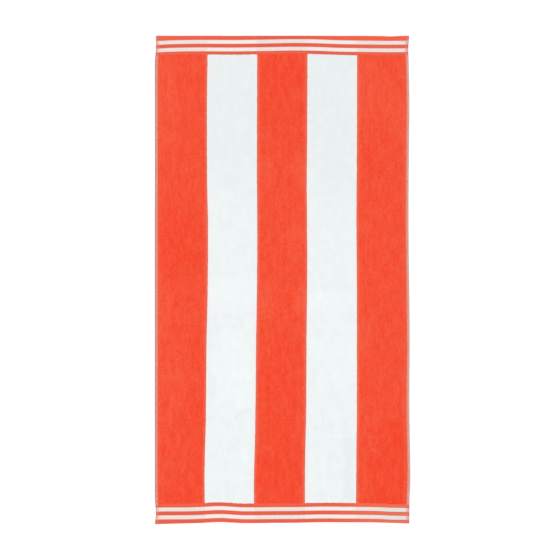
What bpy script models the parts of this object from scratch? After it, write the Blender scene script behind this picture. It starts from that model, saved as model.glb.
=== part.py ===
"""A cotton beach towel in five lengthwise stripes, lying flat with its sheared face up.

It is one woven length, so it is one solid. A thick pile field fills the middle, a thin border
without pile crosses each end, and all four edges are folded over and sewn down as hems.
Metres, +Z up, +Y along the towel, the origin under the towel's middle.
"""

import math
from bisect import bisect_right
from collections import namedtuple

import bmesh
import bpy

MM = 0.001

# Driving sizes: the finished towel, its stripes, and how thick the cloth is in each place.
TOWEL_WIDTH = 860 * MM
TOWEL_LENGTH = 1650 * MM
STRIPE_WIDTH = 168 * MM
STRIPE_COLOURS = ("coral", "white", "coral", "white", "coral")
GROUND_THICKNESS = 1.6 * MM  # the flat-woven borders
PILE_THICKNESS = 4.2 * MM  # ground, sheared loops above it and uncut loops below it
SIDE_HEM_THICKNESS = 2.6 * MM
END_HEM_THICKNESS = 3.0 * MM
CORNER_EXTRA = 0.6 * MM  # where an end hem is folded over a side hem
EDGE_THICKNESS = 1.2 * MM  # the folded edge's upright side
EDGE_ROUNDING = 1.5 * MM
HEM_STEP = 1.5 * MM  # the slope down from a hem's sewn edge
PILE_STEP = 3.5 * MM  # the slope up from the border into the pile

# Worked out from them.
HALF_WIDTH = TOWEL_WIDTH / 2
HALF_LENGTH = TOWEL_LENGTH / 2
PILE_HALF_WIDTH = STRIPE_WIDTH * len(STRIPE_COLOURS) / 2
SIDE_HEM_WIDTH = HALF_WIDTH - PILE_HALF_WIDTH

# The mesh's spacing over the pile field, and the angle past which two faces meet in an edge.
COLUMNS_PER_STRIPE = 8
FIELD_ROWS = 50
SHARP_ANGLE = math.radians(40)

# The cross bands of each end, from its folded edge inwards: how deep each one is.
Band = namedtuple("Band", "name colour top_mm foot_mm")
BANDS = (
    Band("folded hem", "coral", 13.6, 12.6),
    Band("outer white band", "white", 13.1, 13.6),
    Band("coral between the white bands", "coral", 12.6, 13.3),
    Band("inner white band", "white", 12.9, 13.4),
    Band("coral next to the pile", "coral", 10.9, 12.8),
)

# How far the towel's lengthwise lines lie from straight, section by section, from the foot to the
# top: millimetres to the right (+) or left (-) of where each edge and stripe line would be.
Section = namedtuple("Section", "along left line_1 line_2 line_3 line_4 right")
SECTIONS = (
    Section(-825, -0.2, -7.5, -8.7, -5.0, -0.2, 0.9),  # foot corners
    Section(-790, 3.4, -8.0, -9.4, -5.5, -0.4, 1.6),  # foot border, drawn in
    Section(-750, 0.2, -9.3, -10.4, -5.9, -0.9, 1.9),
    Section(-680, -0.3, -10.2, -10.9, -5.9, -0.3, 4.9),  # the stripes lean furthest left
    Section(-545, -0.4, -7.6, -7.1, -4.1, 0.7, 3.2),
    Section(-480, -0.5, -5.4, -6.1, -2.2, 1.8, 2.2),
    Section(-409, -0.6, -4.9, -4.9, -1.3, 2.0, 1.6),
    Section(-206, -0.3, -3.1, -3.2, -0.6, 2.0, 2.8),
    Section(-70, -0.6, 0.0, -1.1, 0.9, 1.9, 1.7),
    Section(65, -0.6, 1.6, 0.3, 1.9, 1.4, 0.0),
    Section(200, -0.5, 1.5, 0.4, 1.0, 0.4, -1.0),
    Section(336, 0.0, -1.3, -0.6, 0.2, 1.1, -0.6),
    Section(480, 0.0, -1.7, -0.7, 1.6, 2.0, 0.7),
    Section(608, -0.1, -1.7, 0.0, 2.2, 2.2, 1.5),
    Section(745, 0.0, 0.1, 0.0, 2.8, 2.5, -0.7),
    Section(783, 3.2, -0.5, 0.0, 2.7, 2.3, -2.2),  # top border, drawn in
    Section(825, 3.7, -0.5, 0.0, 2.7, 1.8, 1.0),  # top corners
)

# How far each end's folded edge and cross bands lie out (+) or in (-) from straight, in
# millimetres, from left to right across the towel.
EndPoint = namedtuple("EndPoint", "across edge bands")
TOP_END = (
    EndPoint(-430, 0.0, -4.4),
    EndPoint(-379, -0.2, -1.9),
    EndPoint(-324, -0.1, -0.6),
    EndPoint(-271, 0.0, -0.2),
    EndPoint(-162, -0.3, -0.6),
    EndPoint(-54, 0.0, 0.7),
    EndPoint(28, 0.1, 2.2),
    EndPoint(109, 0.0, 1.6),
    EndPoint(190, -0.4, -1.4),
    EndPoint(272, -0.5, -2.6),
    EndPoint(340, -1.1, -3.3),
    EndPoint(367, -2.3, -3.6),  # a dip in the hem before the right corner
    EndPoint(395, -1.1, -3.4),
    EndPoint(430, 0.0, -2.7),
)
FOOT_END = (
    EndPoint(-430, 4.6, 1.6),
    EndPoint(-379, 3.5, 1.1),
    EndPoint(-325, 2.0, 1.0),
    EndPoint(-271, 0.8, -0.3),
    EndPoint(-203, -2.7, -3.6),  # the sewing pulls a pucker in here
    EndPoint(-162, -0.6, -1.6),
    EndPoint(-120, 1.2, 0.7),
    EndPoint(0, 0.2, 0.0),
    EndPoint(50, 0.0, -0.1),
    EndPoint(136, -1.8, -1.8),
    EndPoint(210, -1.6, -1.5),
    EndPoint(300, -1.5, -0.5),
    EndPoint(340, -0.3, 0.6),
    EndPoint(368, 0.4, 2.1),
    EndPoint(430, 2.5, 3.0),
)
BAND_SHIFT_FADE = 120 * MM  # how far into the pile a border's unevenness reaches

# Soft rises in the cloth: where the middle of each one is, how far it reaches along and beside its
# own line, how that line turns from the towel's width, and how high it stands.
Rise = namedtuple("Rise", "across along reach_along reach_beside turn_deg height_mm")
RISES = (
    Rise(-208, -790, 60, 26, 90, 1.3),  # pucker in the foot border
    Rise(388, 790, 50, 24, 90, 1.1),  # ripple beside the top right corner
    Rise(-380, 655, 110, 28, 92, 0.8),  # long ripple in the left stripe
    Rise(156, 493, 60, 24, -19, 0.9),  # short crease in the right white stripe
    Rise(-170, -463, 90, 30, 8, 0.8),  # a fold line across the left white stripe
    Rise(-190, -610, 110, 24, 84, 0.9),  # ripples running down from it
    Rise(200, -650, 130, 26, 90, 1.0),  # beside the right white stripe's edge
    Rise(170, -515, 70, 28, -6, 0.8),  # fold line across the right white stripe
    Rise(-60, 345, 150, 30, 88, 0.7),  # along the middle stripe's left line
    Rise(55, 130, 130, 30, 80, 0.7),  # along the middle stripe's right line
    Rise(295, -160, 120, 34, 96, 0.8),  # in the right stripe
    Rise(-370, -450, 130, 32, 86, 0.8),  # in the left stripe
)


def ease(share):
    """0 up to 0, 1 from 1, and a soft slope between them."""
    share = min(max(share, 0.0), 1.0)
    return share * share * (3 - 2 * share)


def smooth_through(places, values, place):
    """The smooth curve through a table's values, read at one place along it."""
    last = len(places) - 1
    place = min(max(place, places[0]), places[-1])
    i = min(bisect_right(places, place) - 1, last - 1)

    def slope(k):
        before, after = max(k - 1, 0), min(k + 1, last)
        return (values[after] - values[before]) / (places[after] - places[before])

    span = places[i + 1] - places[i]
    t = (place - places[i]) / span
    return (
        (1 + 2 * t) * (1 - t) ** 2 * values[i]
        + t * (1 - t) ** 2 * span * slope(i)
        + t * t * (3 - 2 * t) * values[i + 1]
        + t * t * (t - 1) * span * slope(i + 1)
    )


def column(table, name):
    """One named column of a table."""
    return [getattr(row, name) for row in table]


def band_edges(end):
    """How deep in from the folded edge each cross band starts, and where the pile starts."""
    depths = [0.0]
    for band in BANDS:
        depths.append(depths[-1] + getattr(band, end) * MM)
    return depths


END_DEPTHS = {1: band_edges("top_mm"), -1: band_edges("foot_mm")}


def lengthwise_shift(u, v):
    """How far the cloth at (u, v) lies to the right of straight."""
    stripe_lines = [k * STRIPE_WIDTH - PILE_HALF_WIDTH for k in range(1, len(STRIPE_COLOURS))]
    lines = [-HALF_WIDTH, *stripe_lines, HALF_WIDTH]
    places = column(SECTIONS, "along")
    shifts = [smooth_through(places, column(SECTIONS, name), v / MM) for name in Section._fields[1:]]
    return smooth_through(lines, shifts, u) * MM


def endwise_shift(u, v):
    """How far the cloth at (u, v) lies towards the top from straight."""
    end, table = (1, TOP_END) if v > 0 else (-1, FOOT_END)
    depth = HALF_LENGTH - abs(v)
    places = column(table, "across")
    edge_out = smooth_through(places, column(table, "edge"), u / MM)
    bands_out = smooth_through(places, column(table, "bands"), u / MM)
    hem_depth, pile_depth = END_DEPTHS[end][1], END_DEPTHS[end][-1]
    out = edge_out + (bands_out - edge_out) * min(depth / hem_depth, 1.0)
    return end * out * MM * (1 - ease((depth - pile_depth) / BAND_SHIFT_FADE))


def rise_at(u, v):
    """How far the soft rises lift the cloth's upper face at (u, v)."""
    lift = 0.0
    for rise in RISES:
        turn = math.radians(rise.turn_deg)
        du, dv = u / MM - rise.across, v / MM - rise.along
        along_line = du * math.cos(turn) + dv * math.sin(turn)
        beside_line = dv * math.cos(turn) - du * math.sin(turn)
        spread = (along_line / rise.reach_along) ** 2 + (beside_line / rise.reach_beside) ** 2
        lift += rise.height_mm * MM * math.exp(-spread)
    return lift


def height(u, v):
    """The upper face's height at (u, v): ground cloth, with pile or folded hems on it."""
    end = 1 if v > 0 else -1
    in_from_side = HALF_WIDTH - abs(u)
    in_from_end = HALF_LENGTH - abs(v)
    hem_depth, pile_depth = END_DEPTHS[end][1], END_DEPTHS[end][-1]
    pile = ease((in_from_end - pile_depth) / PILE_STEP)
    pile *= ease((in_from_side - SIDE_HEM_WIDTH) / PILE_STEP)
    side_hem = 1 - ease((in_from_side - SIDE_HEM_WIDTH + HEM_STEP) / HEM_STEP)
    end_hem = 1 - ease((in_from_end - hem_depth + HEM_STEP) / HEM_STEP)
    full = GROUND_THICKNESS + max(
        pile * (PILE_THICKNESS - GROUND_THICKNESS),
        side_hem * (SIDE_HEM_THICKNESS - GROUND_THICKNESS),
        end_hem * (END_HEM_THICKNESS - GROUND_THICKNESS),
    )
    full += min(side_hem, end_hem) * CORNER_EXTRA + rise_at(u, v)
    rounding = ease(min(in_from_side, in_from_end) / EDGE_ROUNDING)
    return EDGE_THICKNESS + (full - EDGE_THICKNESS) * rounding


def laid(u, v):
    """Where the point (u, v) of the straight cloth lies, on its upper face."""
    return u + lengthwise_shift(u, v), v + endwise_shift(u, v), height(u, v)


def spaced(start, stop, count):
    """count + 1 even places from start to stop."""
    return [start + (stop - start) * k / count for k in range(count + 1)]


def cloth_columns():
    """The mesh's lengthwise lines, from the left edge to the right one."""
    rim = [0.0, EDGE_ROUNDING, SIDE_HEM_WIDTH - HEM_STEP, SIDE_HEM_WIDTH, SIDE_HEM_WIDTH + PILE_STEP]
    left = [depth - HALF_WIDTH for depth in rim]
    right = [HALF_WIDTH - depth for depth in reversed(rim)]
    field = spaced(-PILE_HALF_WIDTH, PILE_HALF_WIDTH, len(STRIPE_COLOURS) * COLUMNS_PER_STRIPE)
    return left + field[1:-1] + right


def end_rows(end):
    """The mesh's cross lines over one end's hem and border, as depths in from the folded edge."""
    hem, *bands, pile = END_DEPTHS[end][1:]
    return [0.0, EDGE_ROUNDING, hem - HEM_STEP, hem, *bands, pile, pile + PILE_STEP]


def cloth_rows():
    """The mesh's cross lines, from the foot to the top."""
    foot = [depth - HALF_LENGTH for depth in end_rows(-1)]
    top = [HALF_LENGTH - depth for depth in reversed(end_rows(1))]
    return foot + spaced(foot[-1], top[0], FIELD_ROWS)[1:-1] + top


def colour_at(u, v):
    """Which colour the cloth's face has at (u, v)."""
    depths = END_DEPTHS[1 if v > 0 else -1]
    in_from_end = HALF_LENGTH - abs(v)
    if in_from_end < depths[-1]:
        band = BANDS[bisect_right(depths, in_from_end) - 1]
        return "salmon" if band.colour == "white" and abs(u) > PILE_HALF_WIDTH else band.colour
    if abs(u) > PILE_HALF_WIDTH:
        return "salmon"
    return STRIPE_COLOURS[int((u + PILE_HALF_WIDTH) // STRIPE_WIDTH)]


def cotton(name, colour, roughness):
    """A plain cotton finish."""
    material = bpy.data.materials.new(name)
    material.use_nodes = True
    shader = material.node_tree.nodes["Principled BSDF"]
    shader.inputs["Base Color"].default_value = (*colour, 1.0)
    shader.inputs["Roughness"].default_value = roughness
    shader.inputs["Metallic"].default_value = 0.0
    material.diffuse_color = (*colour, 1.0)
    return material


FINISHES = {
    "coral": cotton("coral_cotton", (0.92, 0.085, 0.040), 0.95),
    "white": cotton("white_cotton", (0.87, 0.91, 0.92), 0.95),
    "salmon": cotton("salmon_hem_cotton", (0.75, 0.33, 0.26), 0.9),
}


def towel():
    """The whole cloth: its upper face, its flat underside and the upright edge between them."""
    mesh = bmesh.new()
    columns, rows = cloth_columns(), cloth_rows()
    upper = [[mesh.verts.new(laid(u, v)) for u in columns] for v in rows]
    finish_names = list(FINISHES)
    for j, (v, next_v) in enumerate(zip(rows, rows[1:])):
        for i, (u, next_u) in enumerate(zip(columns, columns[1:])):
            corners = (upper[j][i], upper[j][i + 1], upper[j + 1][i + 1], upper[j + 1][i])
            colour = colour_at((u + next_u) / 2, (v + next_v) / 2)
            mesh.faces.new(corners).material_index = finish_names.index(colour)

    rim_edges = [edge for edge in mesh.edges if edge.is_boundary]
    drop = bmesh.ops.extrude_edge_only(mesh, edges=rim_edges)["geom"]
    lower = [item for item in drop if isinstance(item, bmesh.types.BMVert)]
    for vert in lower:
        vert.co.z = 0.0
    lower_edges = [edge for edge in mesh.edges if edge.is_boundary]
    bmesh.ops.holes_fill(mesh, edges=lower_edges, sides=0)
    bmesh.ops.recalc_face_normals(mesh, faces=mesh.faces)

    data = bpy.data.meshes.new("towel")
    mesh.to_mesh(data)
    mesh.free()
    for finish in FINISHES.values():
        data.materials.append(finish)
    data.shade_smooth()
    data.set_sharp_from_angle(angle=SHARP_ANGLE)
    return data


def centred(data):
    """The mesh with the middle of its own box over the origin."""
    across = [vert.co.x for vert in data.vertices]
    along = [vert.co.y for vert in data.vertices]
    for vert in data.vertices:
        vert.co.x -= (min(across) + max(across)) / 2
        vert.co.y -= (min(along) + max(along)) / 2
    return data


for old in list(bpy.data.objects):
    bpy.data.objects.remove(old, do_unlink=True)

bpy.context.collection.objects.link(bpy.data.objects.new("towel", centred(towel())))
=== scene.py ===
import math
from collections import namedtuple

import bpy
import numpy as np
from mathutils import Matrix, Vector


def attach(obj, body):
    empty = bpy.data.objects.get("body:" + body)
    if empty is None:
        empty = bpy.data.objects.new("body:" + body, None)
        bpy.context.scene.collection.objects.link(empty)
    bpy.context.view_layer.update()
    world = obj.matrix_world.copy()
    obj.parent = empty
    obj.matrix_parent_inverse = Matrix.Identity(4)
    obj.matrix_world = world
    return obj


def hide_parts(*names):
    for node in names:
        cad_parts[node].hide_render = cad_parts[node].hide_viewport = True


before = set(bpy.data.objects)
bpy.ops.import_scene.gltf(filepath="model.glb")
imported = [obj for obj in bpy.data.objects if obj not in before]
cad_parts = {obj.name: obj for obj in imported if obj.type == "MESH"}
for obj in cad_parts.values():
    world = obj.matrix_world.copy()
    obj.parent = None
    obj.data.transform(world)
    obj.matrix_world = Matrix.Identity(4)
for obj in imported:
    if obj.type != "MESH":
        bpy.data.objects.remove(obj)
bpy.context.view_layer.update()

# ---- Camera ------------------------------------------------------------------------------------
# Straight above the towel with the towel's top end up, as in the photograph. A long lens keeps the
# edges square, and the towel's middle sits a little right of and below the middle of the frame.

MM = 0.001
FRAME_PX = 550
MM_PER_PX = 3.39
TOWEL_MIDDLE_PX = (282.53, 279.93)
CAMERA_HEIGHT = 4.2
SENSOR_MM = 36.0

bpy.ops.object.select_all(action="DESELECT")
camera_place = (
    (FRAME_PX / 2 - TOWEL_MIDDLE_PX[0]) * MM_PER_PX * MM,
    (TOWEL_MIDDLE_PX[1] - FRAME_PX / 2) * MM_PER_PX * MM,
    CAMERA_HEIGHT,
)
bpy.ops.object.camera_add(location=camera_place, rotation=(0, 0, 0))
camera = bpy.context.object
camera.data.sensor_width = SENSOR_MM
camera.data.lens = SENSOR_MM * CAMERA_HEIGHT / (FRAME_PX * MM_PER_PX * MM)
bpy.context.scene.camera = camera


# ---- The woven cloth ---------------------------------------------------------------------------
# One length of cotton: the thin ground weave that the pile stands on, which shows by itself as the
# flat-woven border across each end. Each raw end is turned in and folded to the back as a hem of
# three layers. The weave is coral, with two thin white cross bands in each border.

TOWEL_WIDTH, TOWEL_LENGTH = 860 * MM, 1650 * MM
HALF_WIDTH, HALF_LENGTH = TOWEL_WIDTH / 2, TOWEL_LENGTH / 2
STRIPE_WIDTH = 168 * MM
STRIPE_COLOURS = ("coral", "white", "coral", "white", "coral")
PILE_HALF_WIDTH = STRIPE_WIDTH * len(STRIPE_COLOURS) / 2

# The cross bands of each end, from its folded edge inwards: how deep each one is.
Band = namedtuple("Band", "name colour top_mm foot_mm")
BANDS = (
    Band("folded hem", "coral", 13.6, 12.6),
    Band("outer white band", "white", 13.1, 13.6),
    Band("coral between the white bands", "coral", 12.6, 13.3),
    Band("inner white band", "white", 12.9, 13.4),
    Band("coral next to the pile", "coral", 10.9, 12.8),
)
END_DEPTHS = {
    end: np.cumsum([0.0] + [getattr(band, column) * MM for band in BANDS])
    for end, column in ((1, "top_mm"), (-1, "foot_mm"))
}

# How far the towel's lengthwise lines lie from straight, section by section, from the foot to the
# top: millimetres to the right (+) or left (-) of where each edge and stripe line would be.
Section = namedtuple("Section", "along left line_1 line_2 line_3 line_4 right")
SECTIONS = [Section(*row) for row in (
    (-825, -0.2, -7.5, -8.7, -5.0, -0.2, 0.9),  # foot corners
    (-790, 3.4, -8.0, -9.4, -5.5, -0.4, 1.6),  # foot border, drawn in
    (-750, 0.2, -9.3, -10.4, -5.9, -0.9, 1.9),
    (-680, -0.3, -10.2, -10.9, -5.9, -0.3, 4.9),  # the stripes lean furthest left
    (-545, -0.4, -7.6, -7.1, -4.1, 0.7, 3.2),
    (-480, -0.5, -5.4, -6.1, -2.2, 1.8, 2.2),
    (-409, -0.6, -4.9, -4.9, -1.3, 2.0, 1.6),
    (-206, -0.3, -3.1, -3.2, -0.6, 2.0, 2.8),
    (-70, -0.6, 0.0, -1.1, 0.9, 1.9, 1.7),
    (65, -0.6, 1.6, 0.3, 1.9, 1.4, 0.0),
    (200, -0.5, 1.5, 0.4, 1.0, 0.4, -1.0),
    (336, 0.0, -1.3, -0.6, 0.2, 1.1, -0.6),
    (480, 0.0, -1.7, -0.7, 1.6, 2.0, 0.7),
    (608, -0.1, -1.7, 0.0, 2.2, 2.2, 1.5),
    (745, 0.0, 0.1, 0.0, 2.8, 2.5, -0.7),
    (783, 3.2, -0.5, 0.0, 2.7, 2.3, -2.2),  # top border, drawn in
    (825, 3.7, -0.5, 0.0, 2.7, 1.8, 1.0),  # top corners
)]

# How far each end's folded edge and cross bands lie out (+) or in (-) from straight, in
# millimetres, from left to right across the towel.
EndPoint = namedtuple("EndPoint", "across edge bands")
TOP_END = [EndPoint(*row) for row in (
    (-430, 0.0, -4.4),
    (-379, -0.2, -1.9),
    (-324, -0.1, -0.6),
    (-271, 0.0, -0.2),
    (-162, -0.3, -0.6),
    (-54, 0.0, 0.7),
    (28, 0.1, 2.2),
    (109, 0.0, 1.6),
    (190, -0.4, -1.4),
    (272, -0.5, -2.6),
    (340, -1.1, -3.3),
    (367, -2.3, -3.6),  # a dip in the hem before the right corner
    (395, -1.1, -3.4),
    (430, 0.0, -2.7),
)]
FOOT_END = [EndPoint(*row) for row in (
    (-430, 4.6, 1.6),
    (-379, 3.5, 1.1),
    (-325, 2.0, 1.0),
    (-271, 0.8, -0.3),
    (-203, -2.7, -3.6),  # the sewing pulls a pucker in here
    (-162, -0.6, -1.6),
    (-120, 1.2, 0.7),
    (0, 0.2, 0.0),
    (50, 0.0, -0.1),
    (136, -1.8, -1.8),
    (210, -1.6, -1.5),
    (300, -1.5, -0.5),
    (340, -0.3, 0.6),
    (368, 0.4, 2.1),
    (430, 2.5, 3.0),
)]
BAND_SHIFT_FADE = 120 * MM  # how far into the pile a border's unevenness reaches

# Soft rises in the cloth: where the middle of each one is, how far it reaches along and beside its
# own line, how that line turns from the towel's width, and how high it stands.
Rise = namedtuple("Rise", "across along reach_along reach_beside turn_deg height_mm")
RISES = [Rise(*row) for row in (
    (-208, -790, 60, 26, 90, 1.3),  # pucker in the foot border
    (388, 790, 50, 24, 90, 1.1),  # ripple beside the top right corner
    (-380, 655, 110, 28, 92, 0.8),  # long ripple in the left stripe
    (156, 493, 60, 24, -19, 0.9),  # short crease in the right white stripe
    (-170, -463, 90, 30, 8, 0.8),  # a fold line across the left white stripe
    (-190, -610, 110, 24, 84, 0.9),  # ripples running down from it
    (200, -650, 130, 26, 90, 1.0),  # beside the right white stripe's edge
    (170, -515, 70, 28, -6, 0.8),  # fold line across the right white stripe
    (-60, 345, 150, 30, 88, 0.7),  # along the middle stripe's left line
    (55, 130, 130, 30, 80, 0.7),  # along the middle stripe's right line
    (295, -160, 120, 34, 96, 0.8),  # in the right stripe
    (-370, -450, 130, 32, 86, 0.8),  # in the left stripe
)]

# The sewing draws the border up in small uneven waves: their length, turn and height.
Wave = namedtuple("Wave", "length_mm turn_mm height_mm")
PUCKERS = (Wave(13.0, 2.0, 0.16), Wave(19.0, 7.0, 0.14), Wave(31.0, 11.0, 0.16))
PUCKER_TURN_WAVES = 9  # how many waves their wandering course takes to come back
PUCKER_SLANT = 0.15
PUCKER_FADE = 26 * MM  # how far into the pile the waves reach


def ease(share):
    """0 up to 0, 1 from 1, and a soft slope between them."""
    share = np.clip(share, 0.0, 1.0)
    return share * share * (3 - 2 * share)


def smooth_through(places, values, at):
    """The smooth curve through a table's values, read at many places along it."""
    places, values = np.asarray(places, float), np.asarray(values, float)
    if values.ndim == 1:
        values = np.broadcast_to(values[:, None], (len(places), len(at)))
    order = np.arange(len(places))
    behind, ahead = np.maximum(order - 1, 0), np.minimum(order + 1, len(places) - 1)
    slopes = (values[ahead] - values[behind]) / (places[ahead] - places[behind])[:, None]
    at = np.clip(at, places[0], places[-1])
    i = np.clip(np.searchsorted(places, at, side="right") - 1, 0, len(places) - 2)
    span = places[i + 1] - places[i]
    t = (at - places[i]) / span
    point = np.arange(len(at))
    return (
        (1 + 2 * t) * (1 - t) ** 2 * values[i, point]
        + t * (1 - t) ** 2 * span * slopes[i, point]
        + t * t * (3 - 2 * t) * values[i + 1, point]
        + t * t * (t - 1) * span * slopes[i + 1, point]
    )


def column(table, name):
    return [getattr(row, name) for row in table]


def laid_across(u, v):
    """How far right the straight cloth's points (u, v) lie."""
    stripe_lines = [k * STRIPE_WIDTH - PILE_HALF_WIDTH for k in range(1, len(STRIPE_COLOURS))]
    places = column(SECTIONS, "along")
    shifts = [smooth_through(places, column(SECTIONS, name), v / MM) for name in Section._fields[1:]]
    return u + smooth_through([-HALF_WIDTH, *stripe_lines, HALF_WIDTH], shifts, u) * MM


def laid_along(u, v):
    """How far towards the top the straight cloth's points (u, v) lie."""
    place = v.copy()
    for end, table in ((1, TOP_END), (-1, FOOT_END)):
        depth = HALF_LENGTH - end * v
        hem_depth, pile_depth = END_DEPTHS[end][1], END_DEPTHS[end][-1]
        edge = smooth_through(column(table, "across"), column(table, "edge"), u / MM)
        bands = smooth_through(column(table, "across"), column(table, "bands"), u / MM)
        out = edge + (bands - edge) * np.clip(depth / hem_depth, 0.0, 1.0)
        place += end * out * MM * (1 - ease((depth - pile_depth) / BAND_SHIFT_FADE))
    return place


def lift(u, v):
    """How far the soft rises and the sewing's small waves lift the straight cloth's points."""
    high = np.zeros_like(u)
    for rise in RISES:
        turn = math.radians(rise.turn_deg)
        du, dv = u / MM - rise.across, v / MM - rise.along
        along_line = du * math.cos(turn) + dv * math.sin(turn)
        beside_line = dv * math.cos(turn) - du * math.sin(turn)
        spread = (along_line / rise.reach_along) ** 2 + (beside_line / rise.reach_beside) ** 2
        high += rise.height_mm * MM * np.exp(-spread)
    for end in (1, -1):
        depth = HALF_LENGTH - end * v
        near = 1 - ease((depth - END_DEPTHS[end][-1]) / PUCKER_FADE)
        for wave in PUCKERS:
            course = (u / MM + end * wave.length_mm) / (PUCKER_TURN_WAVES * wave.length_mm)
            bend = wave.turn_mm * np.sin(2 * math.pi * course)
            phase = 2 * math.pi * (u / MM + bend + PUCKER_SLANT * end * depth / MM) / wave.length_mm
            high += near * wave.height_mm * MM * (1 + np.sin(phase)) / 2
    return high


OUTLINE_POINTS = 400  # along each side


def edge_middle():
    """The middle of the laid towel's outline, which lies over the origin."""
    u, v = (np.linspace(-half, half, OUTLINE_POINTS) for half in (HALF_WIDTH, HALF_LENGTH))
    left = laid_across(np.full_like(v, -HALF_WIDTH), v).min()
    right = laid_across(np.full_like(v, HALF_WIDTH), v).max()
    foot = laid_along(u, np.full_like(u, -HALF_LENGTH)).min()
    top = laid_along(u, np.full_like(u, HALF_LENGTH)).max()
    return (left + right) / 2, (foot + top) / 2


MIDDLE = edge_middle()


def vertex_places(piece):
    places = np.empty(len(piece.data.vertices) * 3)
    piece.data.vertices.foreach_get("co", places)
    return places.reshape(-1, 3)


def move_vertices(piece, places):
    piece.data.vertices.foreach_set("co", np.ascontiguousarray(places, dtype=np.float32).ravel())
    piece.data.update()


def mark_weave(piece, woven):
    """Keeps where each vertex is in the straight cloth, in metres, as the piece's UV map."""
    uv_map = piece.data.uv_layers.active or piece.data.uv_layers.new()
    uv_map.name = "weave"
    corner = np.empty(len(piece.data.loops), dtype=np.int32)
    piece.data.loops.foreach_get("vertex_index", corner)
    uv_map.data.foreach_set("uv", woven[corner].astype(np.float32).ravel())


def lay_out(piece):
    """Lays a piece that was made straight where the real cloth lies, and hangs it on the towel."""
    places = vertex_places(piece)
    u, v = places[:, 0].copy(), places[:, 1].copy()
    places[:, 0] = laid_across(u, v) - MIDDLE[0]
    places[:, 1] = laid_along(u, v) - MIDDLE[1]
    places[:, 2] += lift(u, v)
    move_vertices(piece, places)
    piece.data.shade_smooth()
    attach(piece, "root")
    return piece


def only(piece):
    """Selects one piece and makes it the active one."""
    bpy.ops.object.select_all(action="DESELECT")
    piece.select_set(True)
    bpy.context.view_layer.objects.active = piece


def cloth_grid(name, columns, rows):
    """A straight, flat net of faces with a line at each place of columns and of rows."""
    bpy.ops.object.select_all(action="DESELECT")
    bpy.ops.mesh.primitive_grid_add(x_subdivisions=len(columns) - 1, y_subdivisions=len(rows) - 1, size=1)
    piece = bpy.context.object
    piece.name = piece.data.name = name
    across, along = np.meshgrid(columns, rows)
    move_vertices(piece, np.stack([across, along, np.zeros_like(across)], axis=-1).reshape(-1, 3))
    return piece


def thicken(piece, thickness, offset):
    """Gives a sheet its thickness and turns all its faces outwards."""
    only(piece)
    solid = piece.modifiers.new("thickness", "SOLIDIFY")
    solid.thickness = thickness
    solid.offset = offset
    solid.use_even_offset = True
    bpy.ops.object.modifier_apply(modifier=solid.name)
    bpy.ops.object.mode_set(mode="EDIT")
    bpy.ops.mesh.select_all(action="SELECT")
    bpy.ops.mesh.normals_make_consistent(inside=False)
    bpy.ops.object.mode_set(mode="OBJECT")


CLOTH_THICKNESS = 1.0 * MM
BORDER_MIDDLE = 0.9 * MM  # the height of the ground weave's own middle
CLOTH_SIDE = 3.0 * MM  # the cloth ends this far in from each side hem's fold
INSIDE_HEM_LIFT = 0.35 * MM  # the side hem's lower layer lifts the cloth folded into it this much
INSIDE_HEM_SLOPE = 2.5 * MM
INSIDE_HEM_LEAD = 2.0 * MM  # the lift starts this far before the pile's side
HEM_TOP_LAYER = 2.5 * MM  # the height that the lift leaves as it is
CLOTH_PITCH = 4.0 * MM
BORDER_PITCH = 1.7 * MM
FIELD_PITCH = 36.0 * MM
UNDER_PILE_LIFT = 0.6 * MM  # under the pile the ground weave lies clear of the loops on the back
UNDER_PILE_SLOPE = 4.0 * MM
FIRST_FIELD_ROW = 6.0 * MM  # in from the pile's edge

# The folded hem in section, from the border outwards, round the fold and back into the hem: the
# distance in from the folded edge as a share of the hem's depth, then in millimetres, and the height.
Fold = namedtuple("Fold", "share plus_mm height_mm")
HEM_FOLD = [Fold(*row) for row in (
    (1, 2.2, 0.9),
    (1, 1.2, 1.15),
    (1, 0.3, 1.9),
    (1, -0.7, 2.42),
    (1, -1.7, 2.36),
    (1, -2.4, 2.18),  # the stitches draw a channel in here
    (1, -3.2, 2.36),
    (1, -4.4, 2.52),
    (0.45, 0, 2.55),
    (0.25, 0, 2.5),
    (0, 1.5, 2.42),
    (0, 0.8, 2.1),
    (0, 0.5, 1.5),
    (0, 0.8, 0.9),
    (0, 1.5, 0.56),
    (0.3, 0, 0.5),
    (0.6, 0, 0.5),
    (1, -2.4, 0.56),
    (1, -1.2, 0.62),
    (1, -0.8, 1.0),
    (1, -1.3, 1.38),
    (1, -2.6, 1.46),
    (0.55, 0, 1.5),
    (0, 3.0, 1.5),
)]


def hem_path(end):
    """The hem's fold as (depth from the folded edge, height, depth in the straight cloth)."""
    hem_depth = END_DEPTHS[end][1]
    depths = np.array([fold.share * hem_depth + fold.plus_mm * MM for fold in HEM_FOLD])
    heights = np.array([fold.height_mm * MM for fold in HEM_FOLD])
    steps = np.hypot(np.diff(depths), np.diff(heights))
    past_edge = np.flatnonzero(depths == depths.min())[0]
    woven = depths.copy()
    woven[past_edge:] = depths[past_edge] - np.concatenate([[0.0], np.cumsum(steps[past_edge:])])
    return depths, heights, woven


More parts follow.
